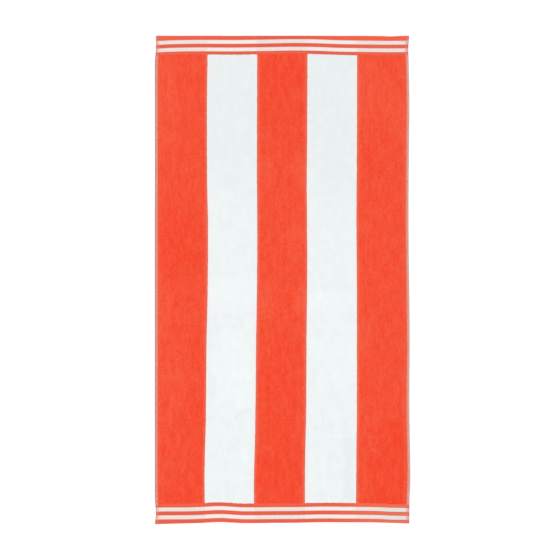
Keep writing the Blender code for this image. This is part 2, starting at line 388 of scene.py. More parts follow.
def cloth_rows():
    """The ground weave from raw end to raw end: place along, height and place in the straight cloth."""
    parts = []
    for end in (-1, 1):
        depths, heights, woven = hem_path(end)
        pile_depth = END_DEPTHS[end][-1]
        inner = np.arange(pile_depth + BORDER_PITCH, depths[0] + BORDER_PITCH / 2, -BORDER_PITCH)
        inner = np.concatenate([[pile_depth + FIRST_FIELD_ROW], inner])
        depths, woven = np.concatenate([inner, depths]), np.concatenate([inner, woven])
        heights = np.concatenate([np.full_like(inner, BORDER_MIDDLE), heights])
        rows = np.stack([end * (HALF_LENGTH - depths), heights, end * (HALF_LENGTH - woven)])
        parts.append(rows if end == 1 else rows[:, ::-1])
    foot, top = parts
    count = round((top[0, 0] - foot[0, -1]) / FIELD_PITCH)
    field = np.linspace(foot[0, -1], top[0, 0], count + 1)[1:-1]
    return np.concatenate([foot, [field, np.full_like(field, BORDER_MIDDLE), field], top], axis=1)


cloth_half = HALF_WIDTH - CLOTH_SIDE
cloth_columns = np.linspace(-cloth_half, cloth_half, round(2 * cloth_half / CLOTH_PITCH) + 1)
row_along, row_height, row_woven = cloth_rows()
woven_cloth = cloth_grid("woven_cloth", cloth_columns, row_along)
flat_places = vertex_places(woven_cloth)
flat_places[:, 2] = np.repeat(row_height, len(cloth_columns))
pile_foot = END_DEPTHS[-1][-1] - HALF_LENGTH
pile_top = HALF_LENGTH - END_DEPTHS[1][-1]
in_from_ends = np.minimum(flat_places[:, 1] - pile_foot, pile_top - flat_places[:, 1])
in_from_sides = PILE_HALF_WIDTH - np.abs(flat_places[:, 0])
in_side_hem = ease((INSIDE_HEM_LEAD - in_from_sides) / INSIDE_HEM_SLOPE)
flat_places[:, 2] += INSIDE_HEM_LIFT * in_side_hem * (1 - flat_places[:, 2] / HEM_TOP_LAYER)
under_pile = np.minimum(in_from_ends - BORDER_PITCH, in_from_sides - UNDER_PILE_SLOPE / 2) / UNDER_PILE_SLOPE
flat_places[:, 2] += UNDER_PILE_LIFT * ease(under_pile)
move_vertices(woven_cloth, flat_places)
woven_along = np.repeat(row_woven, len(cloth_columns))
mark_weave(woven_cloth, np.stack([flat_places[:, 0], woven_along], axis=-1))
thicken(woven_cloth, CLOTH_THICKNESS, 0.0)

# Where the border's coral is deeper-dyed (+) or more worn (-) than the rest: the patch's middle in
# millimetres from the towel's middle, its reach, and how strong it is.
Shade = namedtuple("Shade", "across along reach_across reach_along deeper")
BORDER_SHADES = [Shade(*row) for row in (
    (-350, 818, 180, 14, 1.0),  # the top hem's left end
    (330, 818, 260, 14, 1.0),  # the top hem's right end
    (-350, 791, 160, 14, 0.35),
    (360, 788, 180, 22, -0.5),
    (390, -795, 240, 90, -1.0),  # the foot's right end
    (425, -795, 120, 90, -1.0),  # and most of all its corner
)]


def keep_values(piece, name, values):
    """Keeps one value for each vertex of the piece, for its material."""
    kept = piece.data.attributes.new(name, "FLOAT", "POINT")
    kept.data.foreach_set("value", np.ascontiguousarray(values, dtype=np.float32))


EDGE_WAVES = ((5, 9), (-4, 23))  # how often the edge of a patch wavers across and along it


def patch_reach(across_mm, along_mm, patch, wander=0.0):
    """1 inside half of the patch's reach, 0 outside its reach, and a soft slope between them."""
    du = (across_mm - patch.across) / patch.reach_across
    dv = (along_mm - patch.along) / patch.reach_along
    starts = zip(EDGE_WAVES, (patch.along, patch.across))
    uneven = sum(np.sin(du * waves[0] + dv * waves[1] + start) for waves, start in starts)
    return 1 - ease(2 * np.hypot(du, dv) - 1 + wander * uneven)


cloth_mm = vertex_places(woven_cloth) / MM
keep_values(woven_cloth, "deeper", sum(
    shade.deeper * patch_reach(cloth_mm[:, 0], cloth_mm[:, 1], shade) for shade in BORDER_SHADES
))
lay_out(woven_cloth)


SHEEN_ROUGHNESS = 0.5


def new_material(name, roughness, sheen, specular):
    """A material with one Principled shader. Returns it with its node tree and its shader."""
    material = bpy.data.materials.new(name)
    material.use_nodes = True
    shader = material.node_tree.nodes["Principled BSDF"]
    shader.inputs["Roughness"].default_value = roughness
    shader.inputs["Sheen Weight"].default_value = sheen
    shader.inputs["Sheen Roughness"].default_value = SHEEN_ROUGHNESS
    shader.inputs["Specular IOR Level"].default_value = specular
    return material, material.node_tree, shader


def feed(tree, socket, term):
    """Sets a socket to a number, a vector or a colour, or links another node's output to it."""
    if isinstance(term, bpy.types.NodeSocket):
        tree.links.new(term, socket)
    else:
        socket.default_value = (*term, 1.0) if socket.type == "RGBA" else term


def add_node(tree, kind, inputs=(), **settings):
    """A new node with its settings made and its inputs fed, by name or by number."""
    node = tree.nodes.new(f"ShaderNode{kind}")
    for name, setting in settings.items():
        setattr(node, name, setting)
    for name, term in dict(inputs).items():
        feed(tree, node.inputs[name], term)
    return node


def woven_place(tree):
    """The place in the straight cloth, in metres."""
    return add_node(tree, "UVMap", uv_map="weave").outputs["UV"]


def weave_axes(tree, place):
    """How far across and how far along the straight cloth the place is."""
    return add_node(tree, "SeparateXYZ", {0: place}).outputs[:2]


def kept_value(tree, name):
    """The value that keep_values kept for each vertex."""
    return add_node(tree, "Attribute", attribute_name=name).outputs["Fac"]


def sums(tree, operation, *terms, clamp=False):
    """One Math node. Each term is a number or another node's output."""
    return add_node(tree, "Math", enumerate(terms), operation=operation, use_clamp=clamp).outputs[0]


def patch_noise(tree, place, across_mm, along_mm, detail=2.0):
    """Soft random patches of about that size on the cloth, from 0 to 1."""
    scale = (1 / (across_mm * MM), 1 / (along_mm * MM), 1)
    stretched = add_node(tree, "Mapping", {"Vector": place, "Scale": scale}).outputs[0]
    inputs = {"Vector": stretched, "Scale": 1.0, "Detail": detail}
    return add_node(tree, "TexNoise", inputs, noise_dimensions="2D").outputs["Fac"]


def values_through(tree, place, stops):
    """A value that runs straight from stop to stop: stops are (place from 0 to 1, value)."""
    ramp = add_node(tree, "ValToRGB", {"Fac": place})
    while len(ramp.color_ramp.elements) < len(stops):
        ramp.color_ramp.elements.new(1.0)
    for element, (position, value) in zip(ramp.color_ramp.elements, stops):
        element.position = position
        element.color = (value, value, value, 1.0)
    return ramp.outputs["Color"]


def blend(tree, share, first, second, kind="RGBA"):
    """first where share is 0 and second where it is 1: colours, or single values for kind FLOAT."""
    inputs = {"Factor": share, "A": first, "B": second}
    return add_node(tree, "Mix", inputs, data_type=kind).outputs["Result"]


def layered(tree, colour, *layers):
    """The colour with others laid over it in turn, each as (share, colour)."""
    for share, over in layers:
        colour = blend(tree, share, colour, over)
    return colour


def shaded(tree, colour, share, low, high):
    """The colour made darker or lighter: times low where share is 0 and times high where it is 1."""
    level = add_node(tree, "MapRange", {"Value": share, "To Min": low, "To Max": high}).outputs[0]
    return add_node(tree, "VectorMath", {0: colour, "Scale": level}, operation="SCALE").outputs[0]


# How unevenly a yarn took the dye: the size of its patches, and how dark and how pale they are.
Grain = namedtuple("Grain", "across_mm along_mm low high")


def grained(tree, colour, place, grain):
    """The colour with its grain."""
    patches = patch_noise(tree, place, grain.across_mm, grain.along_mm)
    return shaded(tree, colour, patches, grain.low, grain.high)


def raise_bumps(tree, shader, *layers):
    """Bumps on the shader's normal, one for each (height from 0 to 1, its size in millimetres)."""
    normal = {}
    for height, size_mm in layers:
        bump = add_node(tree, "Bump", {"Distance": size_mm * MM, "Height": height, **normal})
        normal = {"Normal": bump.outputs["Normal"]}
    feed(tree, shader.inputs["Normal"], normal["Normal"])


def across_borders(tree, along, values_at):
    """A value that runs through the stops which values_at gives for each end: (depth, value)."""
    sides = []
    for end in (1, -1):
        depth = sums(tree, "MULTIPLY_ADD", along, -end, HALF_LENGTH)
        scaled = sums(tree, "DIVIDE", depth, BORDER_REACH, clamp=True)
        stops = [(place / BORDER_REACH, value) for place, value in values_at(end)]
        sides.append(values_through(tree, scaled, stops))
    return sums(tree, "MAXIMUM", *sides)


def white_band_stops(end):
    """1 in the white cross bands and 0 elsewhere."""
    stops = []
    for band, start in zip(BANDS[1:], END_DEPTHS[end][1:]):
        value = 1.0 if band.colour == "white" else 0.0
        stops += [(start - BAND_EDGE, 1.0 - value), (start + BAND_EDGE, value)]
    return stops


def band_line_stops(end):
    """1 on the lines between white and coral bands and 0 away from them."""
    profile = ((-LINE_MIX_AND_SHADE, 0.0), (-LINE_MIX_AND_SHADE / 3, 1.0), (LINE_MIX_AND_SHADE / 3, 1.0), (LINE_MIX_AND_SHADE, 0.0))
    return [(line + away, value) for line in END_DEPTHS[end][1:-1] for away, value in profile]


def last_band_stops(end):
    """1 in the last of the coral next to the pile and 0 elsewhere."""
    inner = END_DEPTHS[end][-1]
    start, under_pile = inner - BRIGHT_REACH, inner + BRIGHT_REACH
    return [(start - BAND_EDGE, 0.0), (start + BAND_EDGE, 1.0), (inner, 1.0), (under_pile, 0.0)]


def white_stripe_mask(tree, across):
    """1 in the columns of the two white stripes and 0 in those of the coral ones."""
    off_middle = sums(tree, "ABSOLUTE", across)
    return sums(tree, "COMPARE", off_middle, STRIPE_WIDTH, STRIPE_WIDTH / 2)


def ribs(tree, place, pitch_mm, direction):
    """Fine even ribs, from 0 to 1, that change along direction, X or Y of the cloth."""
    inputs = {
        "Vector": place,
        "Scale": 1 / (WAVES_PER_SCALE * pitch_mm * MM),
        "Distortion": RIB_WOBBLE,
        "Detail": 1.0,
        "Detail Scale": RIB_WOBBLE_SCALE,
    }
    settings = {"wave_type": "BANDS", "wave_profile": "SIN", "bands_direction": direction}
    return add_node(tree, "TexWave", inputs, **settings).outputs["Fac"]


BORDER_REACH = 80 * MM  # deeper than either border
BAND_EDGE = 0.3 * MM  # the yarn changes colour within one pick
LINE_MIX_AND_SHADE = 3.4 * MM  # how far from a band's line the two yarns cover each other unevenly and the coral is painted darker
BRIGHT_REACH = 7.0 * MM
WAVES_PER_SCALE = 20 / (2 * math.pi)  # how often a Wave Texture of scale 1 repeats in a metre
RIB_WOBBLE, RIB_WOBBLE_SCALE = 0.6, 0.4
WEFT_PITCH_MM, WEFT_RELIEF_MM = 1.25, 0.22
WARP_PITCH_MM, WARP_RELIEF_MM = 0.95, 0.12
FUZZ_MM, FUZZ_RELIEF_MM = 2, 0.2
BORDER_GRAIN = Grain(7, 2.4, 0.9, 1.08)
WEFT_SHADE = (0.94, 1.03)  # between the ribs and on top of them

# The borders' colours by their place: in the coral and in the white stripes' columns, away from the
# band lines and on them, where the coral is mixed with white and darkened by painted shade.
Weave = namedtuple("Weave", "coral_column white_column")
WHITE_BANDS = Weave((0.91, 0.85, 0.835), (0.955, 0.893, 0.878))
WHITE_AT_LINE = Weave((0.97, 0.76, 0.70), (0.97, 0.78, 0.73))
CORAL_BANDS = Weave((0.82, 0.105, 0.057), (0.88, 0.104, 0.052))
CORAL_SHADE_AT_LINE = Weave((0.70, 0.135, 0.085), (0.72, 0.135, 0.085))
CORAL_BY_PILE = Weave((0.97, 0.108, 0.050), (0.83, 0.112, 0.062))
DEEPER_CORAL, WORN_CORAL = (0.935, 0.105, 0.047), (0.886, 0.141, 0.079)
WORN_BY_PILE = (0.975, 0.133, 0.062)
MOST_WORN_CORAL, MOST_WORN_WHITE = (0.886, 0.158, 0.090), (0.81, 0.85, 0.835)
WARP_SPECK = (0.86, 0.42, 0.36)
PALE_WARP = (0.95, 0.40, 0.33)
SPECK_EDGE = 2.4  # how sharply the warp stands out where it binds the weft
SPECKS_IN_WHITE_BANDS = Weave(0.9, 0.18)
SPECKS_IN_CORAL_BANDS = 0.2

border_weave, tree, shader = new_material("border_weave", roughness=0.9, sheen=0.15, specular=0.25)
place = woven_place(tree)
across, along = weave_axes(tree, place)
white_column = white_stripe_mask(tree, across)
white_band = across_borders(tree, along, white_band_stops)
band_line = across_borders(tree, along, band_line_stops)
by_pile = across_borders(tree, along, last_band_stops)


def by_column(weave, kind="RGBA"):
    """What the weave has in this column of the border."""
    return blend(tree, white_column, weave.coral_column, weave.white_column, kind)


weft = ribs(tree, place, WEFT_PITCH_MM, "Y")
warp = ribs(tree, place, WARP_PITCH_MM, "X")
binding = sums(tree, "MULTIPLY", sums(tree, "SUBTRACT", 1.0, weft), warp)
specks = sums(tree, "MULTIPLY_ADD", binding, SPECK_EDGE, -1.0, clamp=True)
deeper = kept_value(tree, "deeper")
dyed = sums(tree, "ADD", deeper, 0.0, clamp=True)
worn = sums(tree, "MULTIPLY", deeper, -1.0, clamp=True)
most_worn = sums(tree, "MULTIPLY_ADD", deeper, -1.0, -1.0, clamp=True)

coral_specks = sums(tree, "MULTIPLY", specks, by_column(SPECKS_IN_WHITE_BANDS, "FLOAT"))
pale_specks = sums(tree, "MULTIPLY", specks, SPECKS_IN_CORAL_BANDS)

whites = layered(
    tree, by_column(WHITE_BANDS),
    (band_line, by_column(WHITE_AT_LINE)),
    (most_worn, MOST_WORN_WHITE),
    (coral_specks, WARP_SPECK),
)
corals = layered(
    tree, by_column(CORAL_BANDS),
    (dyed, DEEPER_CORAL),
    (worn, WORN_CORAL),
    (most_worn, MOST_WORN_CORAL),
    (by_pile, blend(tree, worn, by_column(CORAL_BY_PILE), WORN_BY_PILE)),
    (band_line, by_column(CORAL_SHADE_AT_LINE)),
    (pale_specks, PALE_WARP),
)
colour = grained(tree, blend(tree, white_band, corals, whites), place, BORDER_GRAIN)
feed(tree, shader.inputs["Base Color"], shaded(tree, colour, weft, *WEFT_SHADE))
fuzz = patch_noise(tree, place, FUZZ_MM, FUZZ_MM)
raise_bumps(tree, shader, (weft, WEFT_RELIEF_MM), (warp, WARP_RELIEF_MM), (fuzz, FUZZ_RELIEF_MM))
woven_cloth.data.materials.append(border_weave)
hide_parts("towel")


# ---- The pile ----------------------------------------------------------------------------------
# Five stripes of yarn-dyed pile on the ground weave, coral and white by turns. The face is sheared
# to a velour with a nap that runs along the towel, and the back keeps its uncut terry loops. At the
# borders and the side hems the pile ends in a soft, slightly ragged edge.

PILE_TOP = 4.2 * MM
PILE_EDGE_TOP = 1.5 * MM  # where the rounded rim of the pile meets the weave
PILE_EDGE_BOTTOM = 0.6 * MM
PILE_ROUNDING = 2.4 * MM
LINE_GROOVE = 0.25 * MM  # the pile parts a little where two stripes meet
GROOVE_HALF_WIDTH = 1.6 * MM
NAP_COLUMNS, NAP_ROWS = 58, 452
RIM_STEPS = (0.0, 0.5 * MM, 1.3 * MM, 2.4 * MM)
TUFT_HEIGHT = 0.10 * MM
STREAK_HEIGHT = 0.16 * MM
STREAK_ROWS = 7
RAGGED = 0.45 * MM  # how far the pile's ends wander, fading out over the next value
RAGGED_REACH = 4.0 * MM
LINE_RAGGED = 0.36 * MM  # the same for the lines between the stripes
LINE_RAGGED_REACH = 3.0 * MM
LOOP_HEIGHT = 0.45 * MM
NAP_SEED, END_SEED, LINE_SEED = 100, 7, 40

# Where the nap is painted paler (+) or deeper (-), as painted sheen and shade where it lies with or
# against the light: the stripe, the patch's middle in millimetres from that stripe's middle and along
# the towel, its reach, and how strong it is.
Nap = namedtuple("Nap", "stripe across along reach_across reach_along paler")
NAP_LIGHT_AND_SHADE = [Nap(*row) for row in (
    (0, -60, 600, 70, 260, 0.18),
    (0, 0, 120, 110, 170, -0.2),
    (0, -70, -120, 40, 160, 0.2),
    (0, -30, -330, 60, 150, 0.16),
    (0, 50, -560, 70, 260, -0.14),
    (0, 0, -770, 110, 90, -0.16),
    (1, 0, 620, 200, 420, -0.36),  # painted shade over the head end of the white stripes
    (1, 10, -50, 160, 75, 0.3),
    (1, 15, -300, 95, 190, 0.34),
    (1, -70, -190, 50, 90, -0.12),
    (2, 0, 640, 100, 220, -0.14),
    (2, -60, 365, 50, 90, 0.24),
    (2, 62, 372, 34, 64, 0.28),
    (2, 45, 140, 60, 60, 0.28),
    (2, -62, -80, 50, 80, 0.28),
    (2, 68, -70, 34, 80, 0.24),
    (2, 0, -360, 90, 220, -0.16),
    (2, 0, -700, 120, 230, -0.22),
    (3, 0, 600, 200, 450, -0.38),
    (3, 0, -75, 160, 45, 0.28),
    (3, 0, -260, 130, 170, 0.16),
    (3, 60, -640, 45, 200, -0.16),
    (4, -40, 640, 90, 150, 0.22),
    (4, 60, 560, 50, 130, 0.2),
    (4, -66, -190, 40, 90, 0.26),
    (4, 40, -640, 110, 220, -0.2),
    (4, 0, -780, 110, 90, -0.2),
)]
NAP_WANDER = 0.16  # how uneven the patches' edges are
EVEN_NAP = 0.5  # halfway from deep to pale

# The creases in the pile from folding: the course of each one as (across, along) in millimetres from
# the towel's middle, how wide it is, and how much paler (+, painted light on a ridge) or deeper (-,
# painted shade in a trough) it is painted, which also lifts or lowers the pile there.
Crease = namedtuple("Crease", "course width_mm paler")
CREASES = [Crease(*row) for row in (
    (((-238, -469), (-194, -473), (-178, -485), (-158, -483), (-134, -451), (-94, -439)), 5, -0.28),
    (((-194, -493), (-180, -523), (-166, -561)), 3, 0.2),
    (((-184, -493), (-174, -523), (-160, -571)), 3, -0.2),
    (((-226, -595), (-202, -635)), 4, -0.18),
    (((-202, -677), (-176, -687), (-168, -739)), 4, -0.2),
    (((-122, -573), (-114, -607)), 12, 0.4),
    (((-152, -617), (-144, -639), (-130, -683)), 8, 0.25),
    (((-138, -383), (-132, -405), (-114, -417)), 4, -0.2),
    (((-192, -117), (-146, -127), (-96, -117)), 7, -0.2),
    (((-168, -147), (-152, -181)), 10, -0.2),
    (((-120, 427), (-90, 413)), 7, -0.25),
    (((-116, 307), (-86, 295)), 7, -0.2),
    (((98, 613), (102, 531)), 8, -0.3),
    (((104, 663), (152, 661)), 7, -0.2),
    (((130, 515), (156, 497), (196, 473)), 5, -0.3),
    (((110, -283), (110, -337)), 6, -0.25),
    (((138, -417), (140, -493)), 5, -0.2),
    (((110, -505), (140, -503), (166, -493)), 14, -0.2),
    (((172, -469), (188, -493)), 5, 0.25),
    (((176, -533), (212, -529)), 4, 0.3),
    (((172, -543), (214, -543)), 5, -0.25),
    (((148, -617), (148, -711)), 4, 0.25),
    (((202, -583), (204, -745)), 4, 0.25),
    (((224, -539), (230, -751)), 14, -0.3),
    (((-380, 715), (-380, 639), (-384, 565)), 4, 0.65),
    (((-374, 633), (-356, 629), (-350, 609), (-352, 583)), 4, 0.4),
    (((-364, 409), (-366, 351), (-360, 273)), 4, 0.25),
    (((-368, -391), (-376, -439), (-372, -499)), 6, 0.45),
    (((-304, -527), (-318, -571), (-324, -635)), 5, 0.25),
    (((-282, -181), (-278, -309)), 10, -0.25),
    (((76, -49), (60, -85), (46, -117)), 10, 0.35),
    (((72, 117), (72, 83)), 5, -0.3),
    (((288, 451), (296, 349)), 12, -0.18),
    (((338, 229), (354, 219), (372, 209)), 5, 0.3),
    (((302, -581), (328, -577)), 5, 0.3),
    (((380, -493), (386, -567)), 12, -0.3),
)]
CREASE_HEIGHT = 0.9 * MM  # of one whose paler is 1
CREASE_UNEVENNESS, CREASE_WAVE = 0.25, 9 * MM


def rim_and_field(low, high, count):
    """Places from low to high: close together along both rims and even between them."""
    rim = np.array(RIM_STEPS)
    field = np.linspace(low + rim[-1], high - rim[-1], count)
    return np.concatenate([low + rim[:-1], field, high - rim[-2::-1]])


def rounded(depth, rounding):
    """0 at the rim and 1 from rounding inwards, as a quarter circle."""
    share = np.clip(depth / rounding, 0.0, 1.0)
    return np.sqrt(1 - (1 - share) ** 2)


def ragged_line(seed, count):
    """A small random wander along one line of the pile."""
    wander = np.random.default_rng(seed).normal(0.0, 1.0, count + 2)
    return (wander[:-2] + 2 * wander[1:-1] + wander[2:]) / 4


def nap_sheen_and_shade(number, across, along):
    """How pale the painted sheen and shade of the nap and its creases make one stripe at the points."""
    middle = (number + 0.5) * STRIPE_WIDTH - PILE_HALF_WIDTH
    nap = np.full_like(across, EVEN_NAP)
    for patch in NAP_LIGHT_AND_SHADE:
        if patch.stripe == number:
            nap += patch.paler * patch_reach((across - middle) / MM, along / MM, patch, NAP_WANDER)
    return nap + crease_shading_and_height(across, along)


def crease_shading_and_height(across, along):
    """The creases' painted light (+) and painted shade (-) at the points, which also set their height."""
    marks = np.zeros_like(across)
    for crease in CREASES:
        off_crease = np.full_like(across, np.inf)
        for start, end in zip(crease.course, crease.course[1:]):
            run, climb = end[0] - start[0], end[1] - start[1]
            du, dv = across / MM - start[0], along / MM - start[1]
            share = np.clip((du * run + dv * climb) / (run * run + climb * climb), 0.0, 1.0)
            off_crease = np.minimum(off_crease, np.hypot(du - share * run, dv - share * climb))
        uneven = 1 + CREASE_UNEVENNESS * np.sin((across + along) / CREASE_WAVE)
        marks += crease.paler * uneven * np.exp(-((off_crease / crease.width_mm) ** 2))
    return marks


def pile_stripe(number):
    """One stripe of pile, velour above and loops below, straight as it was woven."""
    low = number * STRIPE_WIDTH - PILE_HALF_WIDTH
    columns = rim_and_field(low, low + STRIPE_WIDTH, NAP_COLUMNS)
    rows = rim_and_field(pile_foot, pile_top, NAP_ROWS)
    stripe = cloth_grid(f"pile_{number + 1}_{STRIPE_COLOURS[number]}", columns, rows)
    net = vertex_places(stripe).reshape(len(rows), len(columns), 3)
    mark_weave(stripe, net[..., :2].reshape(-1, 2))
    thicken(stripe, PILE_TOP, -1.0)

    across, along = net[..., 0], net[..., 1]
    end_depth = np.minimum(along - pile_foot, pile_top - along)
    side_depth = PILE_HALF_WIDTH - np.abs(across)
    rim = np.minimum(rounded(end_depth, PILE_ROUNDING), rounded(side_depth, PILE_ROUNDING))
    line_depth = np.minimum(across - low, low + STRIPE_WIDTH - across)
    grooved = side_depth > line_depth  # not beside a side hem
    groove = LINE_GROOVE * (1 - ease(line_depth / GROOVE_HALF_WIDTH)) * grooved

    chance = np.random.default_rng(NAP_SEED + number)
    tufts = chance.normal(0.0, 1.0, across.shape)
    streaks = chance.normal(0.0, 1.0, (len(rows) + STREAK_ROWS - 1, len(columns)))
    streaks = sum(streaks[k : k + len(rows)] for k in range(STREAK_ROWS)) / math.sqrt(STREAK_ROWS)
    nap = TUFT_HEIGHT * tufts + STREAK_HEIGHT * streaks
    # the creases lift the pile under their painted light and lower it under their painted shade
    nap += CREASE_HEIGHT * crease_shading_and_height(across, along)

    top = net.copy()
    top[..., 2] = PILE_EDGE_TOP + (PILE_TOP - PILE_EDGE_TOP - groove + nap) * rim
    bottom = net.copy()
    loops = LOOP_HEIGHT * chance.random(across.shape)
    bottom[..., 2] = PILE_EDGE_BOTTOM + (loops - PILE_EDGE_BOTTOM) * rim
    for side in (top, bottom):
        near = 1 - ease(end_depth / RAGGED_REACH)
        side[..., 1] += RAGGED * near * ragged_line(END_SEED + number, len(columns))[None, :]
        for line, seed in ((0, number), (-1, number + 1)):
            near = 1 - ease(np.abs(across - columns[line]) / LINE_RAGGED_REACH)
            side[..., 0] += LINE_RAGGED * near * ragged_line(LINE_SEED + seed, len(rows))[:, None]
    move_vertices(stripe, np.concatenate([top.reshape(-1, 3), bottom.reshape(-1, 3)]))
    # the nap's painted sheen and shade, with the creases', for the velour's colour
    keep_values(stripe, "nap", np.tile(nap_sheen_and_shade(number, across, along).ravel(), 2))
    return stripe


# The pile's yarns: deep and pale, painted as the nap's sheen and shade where it lies with or against
# the light, with painted shade on the coral and a pink tint on the white where two stripes meet, and
# stray fibres of the neighbour's colour there. locks and streaks say how uneven the nap is, with their
# size across and along, stands how much more painted sheen the pile gets where it stands up near a
# line, the gap shade how dark the painted shade between the sheared tufts is, and tuft_mm how far they
# stand out.
Uneven = namedtuple("Uneven", "amount across_mm along_mm")
Yarn = namedtuple("Yarn", "deep pale at_line stray strays locks streaks stands grain gaps tuft_mm")
YARNS = {
    "coral": Yarn(
        deep=(0.842, 0.0485, 0.0150), pale=(0.862, 0.0965, 0.0440), at_line=(0.65, 0.076, 0.034),
        stray=(0.86, 0.40, 0.31), strays=0.68, locks=Uneven(1.5, 4.0, 6.5), streaks=Uneven(1.1, 17, 50),
        stands=0.3, grain=Grain(6.5, 20, 0.89, 1.11), gaps=0.82, tuft_mm=0.25,
    ),
    "white": Yarn(
        deep=(0.762, 0.799, 0.807), pale=(0.831, 0.869, 0.877), at_line=(0.885, 0.875, 0.87),
        stray=(0.94, 0.50, 0.42), strays=0.69, locks=Uneven(0.75, 22, 34), streaks=Uneven(0.5, 30, 70),
        stands=0.0, grain=Grain(8, 14, 0.99, 1.01), gaps=0.945, tuft_mm=0.12,
    ),
}
FRAY_MM, FRAY_REACH = (1.6, 3.4), 2.0 * MM  # how the two colours' line frays
LINE_CORE, LINE_REACH = 1.6 * MM, 8.0 * MM  # where a line's painted shade and tint are full, and where they end
MIX_REACH = 12.0 * MM  # where the stray fibres of the other colour end
MIX_AMOUNT = 0.2
PALE_REACH = 17.0 * MM  # how far from a line the pile stands up
HEM_REACH, HEM_SHARE = 20 * MM, 0.3  # beside a side hem the line is this much fainter
FIBRE_MM, FIBRE_EDGE = (0.3, 1.3), 5.0
KNOB_FALL = 1.5  # how steeply a tuft or a loop falls from its middle
TUFT_MM = 0.9
TUFT_FRAY_MM, TUFT_FRAY_DETAIL = (0.45, 0.7), 3.0
TUFT_FRAY, TUFT_FRAY_FROM, TUFT_SHARE = 1.7, 0.6, 0.45
TUFT_LIFT = 1.55  # painted light on the tips, making up for the gaps' painted shade so the pile keeps its colour from afar
STREAK_RELIEF_MM = 0.35


def falling(tree, place, full, none):
    """1 up to full, 0 from none, and a soft slope between them."""
    inputs = {"Value": place, "From Min": full, "From Max": none, "To Min": 1.0, "To Max": 0.0}
    return add_node(tree, "MapRange", inputs, interpolation_type="SMOOTHSTEP").outputs[0]


def knobs(tree, place, size_mm, randomness, feature="F1"):
    """Small round knobs side by side: 1 in the middle of each and 0 between them."""
    inputs = {"Vector": place, "Scale": 1 / (size_mm * MM), "Randomness": randomness}
    cells = add_node(tree, "TexVoronoi", inputs, voronoi_dimensions="2D", feature=feature)
    return sums(tree, "MULTIPLY_ADD", cells.outputs["Distance"], -KNOB_FALL, 1.0, clamp=True)


def velour(name, yarn):
    """Sheared pile: matt, soft at grazing angles, streaked along the towel, mixed at the lines, and with
    painted sheen and shade.
    """
    material, tree, shader = new_material(name, roughness=0.95, sheen=0.2, specular=0.1)
    place = woven_place(tree)
    across = weave_axes(tree, place)[0]
    fray = sums(tree, "SUBTRACT", patch_noise(tree, place, *FRAY_MM), 0.5)
    off_line = sums(tree, "ADD", across, STRIPE_WIDTH / 2)
    off_line = sums(tree, "PINGPONG", off_line, STRIPE_WIDTH / 2)
    off_line = sums(tree, "MULTIPLY_ADD", fray, FRAY_REACH, off_line)
    off_middle = sums(tree, "ABSOLUTE", across)
    at_hem = sums(tree, "GREATER_THAN", off_middle, PILE_HALF_WIDTH - HEM_REACH)
    by_stripe = blend(tree, at_hem, 1.0, HEM_SHARE, "FLOAT")
    at_line, mixed = (
        sums(tree, "MULTIPLY", falling(tree, off_line, LINE_CORE, reach), by_stripe)
        for reach in (LINE_REACH, MIX_REACH)
    )

    locks = patch_noise(tree, place, yarn.locks.across_mm, yarn.locks.along_mm)
    streaks = patch_noise(tree, place, yarn.streaks.across_mm, yarn.streaks.along_mm)
    # the nap's painted sheen and shade, kept for each vertex
    paleness = kept_value(tree, "nap")
    for unevenness, noise in ((yarn.locks, locks), (yarn.streaks, streaks)):
        change = sums(tree, "MULTIPLY_ADD", noise, unevenness.amount, -unevenness.amount / 2)
        paleness = sums(tree, "ADD", paleness, change)
    standing = falling(tree, off_line, 0.0, PALE_REACH)
    paleness = sums(tree, "MULTIPLY_ADD", standing, yarn.stands, paleness, clamp=True)
    fibres = patch_noise(tree, place, *FIBRE_MM)
    stray = sums(tree, "MULTIPLY_ADD", mixed, MIX_AMOUNT, fibres)
    stray = sums(tree, "MULTIPLY_ADD", stray, FIBRE_EDGE, -FIBRE_EDGE * yarn.strays, clamp=True)
    # painted sheen and shade of the nap, painted shade on the coral and a pink tint on the white at the
    # lines, and stray fibres
    colour = layered(tree, yarn.deep, (paleness, yarn.pale), (at_line, yarn.at_line), (stray, yarn.stray))
    colour = grained(tree, colour, place, yarn.grain)

    tufts = knobs(tree, place, TUFT_MM, 1.0, "SMOOTH_F1")
    frayed = patch_noise(tree, place, *TUFT_FRAY_MM, TUFT_FRAY_DETAIL)
    frayed = sums(tree, "MULTIPLY_ADD", frayed, TUFT_FRAY, -TUFT_FRAY_FROM)
    frayed = sums(tree, "MULTIPLY_ADD", tufts, TUFT_SHARE, frayed, clamp=True)
    # painted shade in the gaps between the tufts and painted light on their tips
    colour = shaded(tree, colour, frayed, yarn.gaps, 1 + TUFT_LIFT * (1 - yarn.gaps))
    feed(tree, shader.inputs["Base Color"], colour)
    raise_bumps(tree, shader, (streaks, STREAK_RELIEF_MM), (frayed, yarn.tuft_mm))
    return material


LOOP_MM, LOOP_RANDOMNESS, LOOP_RELIEF_MM = 1.9, 0.55, 0.9
LOOP_GAP_SHADE = 0.62  # how dark the painted shade between the loops is
LOOP_GRAIN = Grain(12, 18, 0.94, 1.06)
LOOP_FUZZ_MM = 0.6


def terry(name, own):
    """Uncut loops: small round knobs with painted shade in the gaps between them."""
    material, tree, shader = new_material(name, roughness=0.95, sheen=0.2, specular=0.1)
    place = woven_place(tree)
    knob = knobs(tree, place, LOOP_MM, LOOP_RANDOMNESS)
    colour = grained(tree, shaded(tree, own, knob, LOOP_GAP_SHADE, 1.0), place, LOOP_GRAIN)
    feed(tree, shader.inputs["Base Color"], colour)
    fuzz = patch_noise(tree, place, LOOP_FUZZ_MM, LOOP_FUZZ_MM)
    raise_bumps(tree, shader, (knob, LOOP_RELIEF_MM), (fuzz, FUZZ_RELIEF_MM))
    return material


